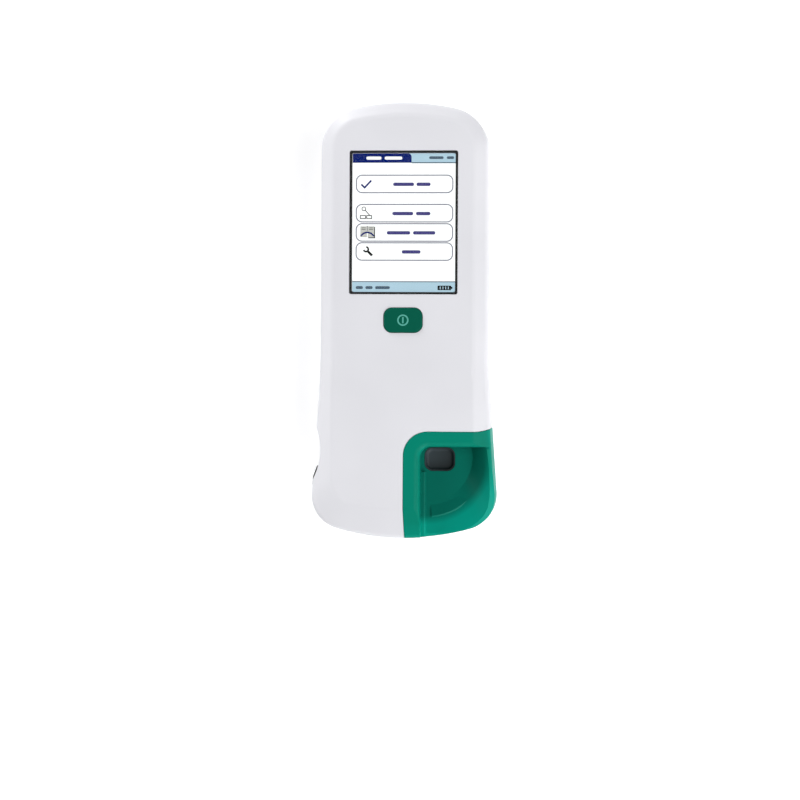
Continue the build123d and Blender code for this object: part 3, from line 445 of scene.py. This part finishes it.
def window_border():
    level = window_low.z + print_thickness
    sheet = Sheet(lambda x, y: level, 0.0, print_thickness)
    edge = 0.12
    outer_corner, inner_corner = 0.8, 0.3
    outer = rounded(window_low.x + edge, window_low.y + edge, window_high.x - edge, window_high.y - edge,
                    [outer_corner] * 4)
    inner = rounded(picture_left, picture_bottom, picture_right, picture_top, [inner_corner] * 4)
    sheet.ring(outer, inner)
    sheet.piece("window_border", mask_black, "housing", "dark_window")


def picture_sheet(layer):
    """Sheet on the display panel. Its shapes are laid out in mm from the picture's upper left corner."""
    return Sheet(lambda x, y: panel_top, picture_gap + picture_step * (layer - 1), picture_step * layer)


def at(points):
    """The points, measured to the right and down from the picture's upper left corner, on the panel."""
    return [(picture_left + u, picture_top - v) for u, v in points]


def sides(left, top, right, bottom):
    """The same for the sides of a rectangle, in the order that rounded takes them."""
    return picture_left + left, picture_top - bottom, picture_left + right, picture_top - top


def bar(sheet, left, top, right, bottom, radii=(0, 0, 0, 0)):
    sheet.plate(rounded(*sides(left, top, right, bottom), radii))


def pill(sheet, left, right, middle, height):
    """Plain bar with round ends."""
    flat = 0.1
    bar(sheet, left, middle - height / 2, right, middle + height / 2, [(height - flat) / 2] * 4)


def header_and_footer():
    """Blue bands with a navy tab, a thin line along each band, short bars and a battery sign."""
    header_bottom, footer_top = 5.2, 71.6
    header_middle, footer_middle = 2.5, 74.7
    tab_width, tab_height, tab_middle, tab_corner = 32.8, 5.3, 2.7, 2.2
    below_tab = 3.0
    sky = picture_sheet(1)
    bar(sky, tab_width - below_tab, 0, picture_width, header_bottom)
    bar(sky, 0, footer_top, picture_width, picture_height)
    sky.piece("screen_bands", screen_sky, "housing", "display")
    navy = picture_sheet(2)
    bar(navy, 0, 0, tab_width, tab_height, (0, 0, tab_corner, 0))
    navy.piece("screen_tab", screen_navy, "housing", "display")
    slate = picture_sheet(2)
    bar(slate, tab_width, header_bottom - 0.2, picture_width, header_bottom + 0.4)
    bar(slate, 0, footer_top - 0.5, picture_width, footer_top)
    for left, right in ((42.6, 50.6), (52.4, 56.4)):
        pill(slate, left, right, header_middle, 1.5)
    for left, right in ((2.0, 6.0), (7.4, 11.4), (12.8, 21.0)):
        pill(slate, left, right, footer_middle, 1.6)
    slate.piece("screen_lines", screen_slate, "housing", "display")
    battery_left, battery_top, battery_right, battery_bottom = 47.6, 73.5, 55.2, 76.0
    knob = 0.7
    ink = picture_sheet(2)
    bar(ink, battery_left, battery_top, battery_right, battery_bottom, [0.4] * 4)
    bar(ink, battery_right, battery_top + knob, battery_right + knob, battery_bottom - knob, (0, 0.3, 0.3, 0))
    ink.piece("screen_battery_sign", screen_ink, "housing", "display")
    white = picture_sheet(3)
    for left, right in ((7.6, 16.0), (17.8, 27.6)):
        pill(white, left, right, tab_middle, 1.7)
    white.piece("screen_tab_bars", screen_white, "housing", "display")
    gaps = picture_sheet(3)
    gap_width, gap_pitch, rim = 0.45, 1.5, 0.5
    for i in range(4):
        left = battery_left + 1.3 + gap_pitch * i
        bar(gaps, left, battery_top + rim, left + gap_width, battery_bottom - rim)
    gaps.piece("screen_battery_gaps", screen_sky, "housing", "display")


# Menu of the display: where its four entries lie in the picture, and their frames

menu_middles = (17.05, 33.3, 44.0, 54.6)
menu_left = 2.1
menu_right = 55.8
menu_height = 9.7
menu_corner = 3.2
menu_line = 0.6


def menu_frames():
    """Four alike rounded frames, one on each point of a small mesh."""
    mesh = bpy.data.meshes.new("screen_menu_frames")
    centre = picture_left + (menu_left + menu_right) / 2
    level = panel_top + picture_step / 2
    middles = [(centre * MM, (picture_top - middle) * MM, level * MM) for middle in menu_middles]
    mesh.from_pydata(middles, [], [])
    tree = bpy.data.node_groups.new("menu_frames", "GeometryNodeTree")
    tree.interface.new_socket("Geometry", in_out="INPUT", socket_type="NodeSocketGeometry")
    values = (("Frame width", menu_right - menu_left), ("Frame height", menu_height),
              ("Corner radius", menu_corner), ("Line width", menu_line))
    for label, value in values:
        socket = tree.interface.new_socket(label, in_out="INPUT", socket_type="NodeSocketFloat")
        socket.default_value = value * MM
    tree.interface.new_socket("Geometry", in_out="OUTPUT", socket_type="NodeSocketGeometry")
    given = tree.nodes.new("NodeGroupInput")
    result = tree.nodes.new("NodeGroupOutput")
    frame_line = tree.nodes.new("GeometryNodeCurvePrimitiveQuadrilateral")
    corner = tree.nodes.new("GeometryNodeFilletCurve")
    corner.mode = "POLY"
    corner.inputs["Count"].default_value = 8
    profile = tree.nodes.new("GeometryNodeCurvePrimitiveQuadrilateral")
    sweep = tree.nodes.new("GeometryNodeCurveToMesh")
    flatten = tree.nodes.new("GeometryNodeTransform")
    place = tree.nodes.new("GeometryNodeInstanceOnPoints")
    real = tree.nodes.new("GeometryNodeRealizeInstances")
    finish = tree.nodes.new("GeometryNodeSetMaterial")
    finish.inputs["Material"].default_value = screen_grey
    flatten.inputs["Scale"].default_value = (1.0, 1.0, picture_step / menu_line)
    link = tree.links.new
    link(given.outputs["Frame width"], frame_line.inputs["Width"])
    link(given.outputs["Frame height"], frame_line.inputs["Height"])
    link(given.outputs["Corner radius"], corner.inputs["Radius"])
    link(given.outputs["Line width"], profile.inputs["Width"])
    link(given.outputs["Line width"], profile.inputs["Height"])
    link(frame_line.outputs["Curve"], corner.inputs["Curve"])
    link(corner.outputs["Curve"], sweep.inputs["Curve"])
    link(profile.outputs["Curve"], sweep.inputs["Profile Curve"])
    link(sweep.outputs["Mesh"], flatten.inputs["Geometry"])
    link(given.outputs["Geometry"], place.inputs["Points"])
    link(flatten.outputs["Geometry"], place.inputs["Instance"])
    link(place.outputs["Instances"], real.inputs["Geometry"])
    link(real.outputs["Geometry"], finish.inputs["Geometry"])
    link(finish.outputs["Geometry"], result.inputs["Geometry"])
    maker = bpy.data.objects.new("menu_frame_maker", mesh)
    scene.collection.objects.link(maker)
    modifier = maker.modifiers.new("menu_frames", "NODES")
    modifier.node_group = tree
    plain = bpy.data.meshes.new_from_object(maker.evaluated_get(bpy.context.evaluated_depsgraph_get()))
    plain.name = "screen_menu_frames"
    bpy.data.objects.remove(maker)
    shown(bpy.data.objects.new("screen_menu_frames", plain), "housing")


def menu_bars():
    """One or two plain bars in each of the four entries."""
    bars = picture_sheet(1)
    bar_height, bar_drop = 1.9, 0.2
    rows = (((22.6, 34.2), (35.6, 43.4)), ((22.2, 33.8), (35.4, 43.4)),
            ((19.2, 32.2), (33.8, 46.2)), ((27.6, 38.0),))
    for middle, row in zip(menu_middles, rows):
        for left, right in row:
            pill(bars, left, right, middle + bar_drop, bar_height)
    bars.piece("screen_menu_bars", screen_word, "housing", "display")


def tick(navy):
    navy.plate(at(stroke([(4.8, 17.3), (6.7, 19.1), (10.4, 15.1)], 0.95)))


def dropper_over_strip(ink):
    bulb, bulb_radius, bulb_line = (6.3, 30.9), 1.25, 0.4
    ink.ring(at(circle(bulb, bulb_radius, 24)), at(circle(bulb, bulb_radius - bulb_line, 24)))
    ink.plate(at(stroke([(7.2, 31.8), (9.8, 34.7)], 0.45)))
    top, bottom, line = 34.4, 36.5, 0.45
    for left, right in ((4.1, 7.5), (7.7, 10.9)):
        outer = sides(left, top, right, bottom)
        inner = sides(left + line, top + line, right - line, bottom - line)
        ink.ring(rounded(*outer, [0.3] * 4), rounded(*inner, [0.1] * 4))


def open_book(navy, pages, ink):
    page_top, page_bottom = 40.6, 46.7
    for left, right in ((4.4, 8.1), (8.5, 12.2)):
        bar(pages, left, page_top, right, page_bottom)
    navy.plate(at(stroke([(4.6, 46.0), (6.2, 44.5), (8.3, 43.9), (10.4, 44.5), (12.0, 46.0)], 0.9)))
    ink.plate(at(stroke([(8.3, 40.3), (8.3, 43.2)], 0.3)))
    ink.plate(at(stroke([(12.4, 40.9), (12.4, 47.0), (8.8, 47.0)], 0.5)))
    row_line = 0.28
    for row in (41.5, 42.4):
        for left, right in ((5.1, 7.4), (9.2, 11.5)):
            ink.plate(at(stroke([(left, row), (right, row)], row_line)))


def spanner(ink):
    ink.plate(at(stroke(arc((7.6, 53.4), 1.3, -85, 250, 16), 0.95)))
    ink.plate(at(stroke([(8.4, 54.2), (11.0, 56.9)], 1.35)))


def menu_signs():
    """Signs at the left of the entries: a tick, a dropper over a strip, an open book and a spanner."""
    navy = picture_sheet(2)
    pages = picture_sheet(1)
    ink = picture_sheet(2)
    tick(navy)
    dropper_over_strip(ink)
    open_book(navy, pages, ink)
    spanner(ink)
    navy.piece("screen_signs_navy", screen_navy, "housing", "display")
    pages.piece("screen_book_pages", screen_page, "housing", "display")
    ink.piece("screen_signs_ink", screen_ink, "housing", "display")


# Key: printed ring and bar that follow its crown


def key_icon():
    key = nodes["power_button"].data
    skin = BVHTree.FromPolygons([v.co for v in key.vertices], [list(p.vertices) for p in key.polygons])
    low, high = [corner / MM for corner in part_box("power_button")]
    centre = ((low.x + high.x) / 2, (low.y + high.y) / 2)
    well_above = high.z * MM * 2

    def crown(x, y):
        return skin.ray_cast(Vector((x * MM, y * MM, well_above)), Vector((0, 0, -1)))[0].z / MM

    sunk, raised = 0.05, 0.04
    sheet = Sheet(crown, -sunk, raised)
    ring_radius, line, bar_length = 3.15, 0.8, 3.4
    sheet.ring(circle(centre, ring_radius, 72), circle(centre, ring_radius - line, 72))
    steps = 8
    levels = [centre[1] + bar_length * (i / steps - 0.5) for i in range(steps + 1)]
    left, right = centre[0] - line / 2, centre[0] + line / 2
    sheet.plate([(left, y) for y in levels] + [(right, y) for y in levels[::-1]])
    sheet.piece("key_icon", icon_mint, "power_key", "green_key")


# Code chip, in mm: a straight outer end that leans with the flank, a little proud of the thumb scallop


def chip_with_straight_end():
    mesh = nodes["code_chip"].data.copy()
    mesh.name = "code_chip_straight_end"
    head_end = Vector((-49.1, -81.5))
    slope = 0.36
    grip = -48.3
    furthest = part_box("front_casing")[0].x / MM + 0.03
    for vertex in mesh.vertices:
        x, y = vertex.co.x / MM, vertex.co.y / MM
        if x < grip:
            vertex.co.x = max(furthest, min(x, head_end.x - slope * (head_end.y - y))) * MM
    piece = shown(bpy.data.objects.new("code_chip_straight_end", mesh), "coding_chip")
    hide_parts("code_chip")


window_border()
chip_with_straight_end()
header_and_footer()
menu_frames()
menu_bars()
menu_signs()
key_icon()


# Floor, light and camera


def seen_directly(tree):
    """1 for what is seen, reflected or looked at through the window, 0 for light that falls on the object."""
    path = tree.nodes.new("ShaderNodeLightPath")
    seen = path.outputs["Is Camera Ray"]
    for kind in ("Is Glossy Ray", "Is Transmission Ray"):
        either = tree.nodes.new("ShaderNodeMath")
        either.operation = "MAXIMUM"
        tree.links.new(seen, either.inputs[0])
        tree.links.new(path.outputs[kind], either.inputs[1])
        seen = either.outputs["Value"]
    return seen


def pale_floor():
    """Square floor, which the camera sees a little lighter than the lamps make it."""
    mesh = bpy.data.meshes.new("floor")
    reach = 6.0
    own_light = 0.4
    mesh.from_pydata([(-reach, -reach, 0), (reach, -reach, 0), (reach, reach, 0), (-reach, reach, 0)], [],
                     [(0, 1, 2, 3)])
    floor = bpy.data.objects.new("floor", mesh)
    scene.collection.objects.link(floor)
    material, tree, shader = new_material("floor_white")
    shader.inputs["Base Color"].default_value = (0.9, 0.9, 0.9, 1.0)
    shader.inputs["Roughness"].default_value = 0.9
    shader.inputs["Specular IOR Level"].default_value = 0.1
    shader.inputs["Emission Color"].default_value = (1.0, 1.0, 1.0, 1.0)
    tree.links.new(spread(tree, seen_directly(tree), 0.0, own_light), shader.inputs["Emission Strength"])
    mesh.materials.append(material)


def softbox(name, azimuth, tilt, share, size):
    """Square lamp, tilted from straight up, that gives the upward face that share of its light."""
    distance = 3.0
    level = sin(radians(tilt))
    towards = Vector((level * cos(radians(azimuth)), level * sin(radians(azimuth)), cos(radians(tilt))))
    data = bpy.data.lights.new(name, "AREA")
    data.shape = "SQUARE"
    data.size = size
    data.energy = share * pi**2 * distance**2 / cos(radians(tilt))
    light = bpy.data.objects.new(name, data)
    scene.collection.objects.link(light)
    light.location = towards * distance
    light.rotation_euler = towards.to_track_quat("Z", "Y").to_euler()


def studio_light():
    """Three wide lamps, four smaller ones low around the meter, and a little light from all sides."""
    wide, narrow = 1.8, 1.1
    around, white = 0.1, 1.0
    softbox("high_right_softbox", 0, 35, 0.33, wide)
    softbox("tail_right_softbox", 300, 60, 0.26, wide)
    softbox("left_softbox", 180, 60, 0.13, wide)
    softbox("left_strip", 180, 78, 0.018, narrow)
    softbox("head_left_strip", 120, 78, 0.155, narrow)
    softbox("right_strip", 0, 78, 0.03, narrow)
    softbox("tail_right_strip", 300, 78, 0.03, narrow)
    world = bpy.data.worlds.new("studio")
    scene.world = world
    world.use_nodes = True
    tree = world.node_tree
    background = tree.nodes["Background"]
    background.inputs["Color"].default_value = (1, 1, 1, 1)
    tree.links.new(spread(tree, seen_directly(tree), around, white), background.inputs["Strength"])


def photo_camera():
    data = bpy.data.cameras.new("photo_camera")
    camera = bpy.data.objects.new("photo_camera", data)
    scene.collection.objects.link(camera)
    scene.camera = camera
    data.sensor_width = 36.0
    place = Vector((camera_side, camera_head, camera_height))
    aim = Vector((*image_centre, silhouette_height))
    data.lens = data.sensor_width * (place - aim).length / frame_width
    back = (place - aim).normalized()
    up = Vector((sin(radians(camera_roll)), cos(radians(camera_roll)), 0))
    right = up.cross(back).normalized()
    turn = Matrix((right, back.cross(right), back)).transposed()
    camera.matrix_world = Matrix.Translation(place) @ turn.to_4x4()


pale_floor()
studio_light()
photo_camera()

bpy.context.view_layer.update()
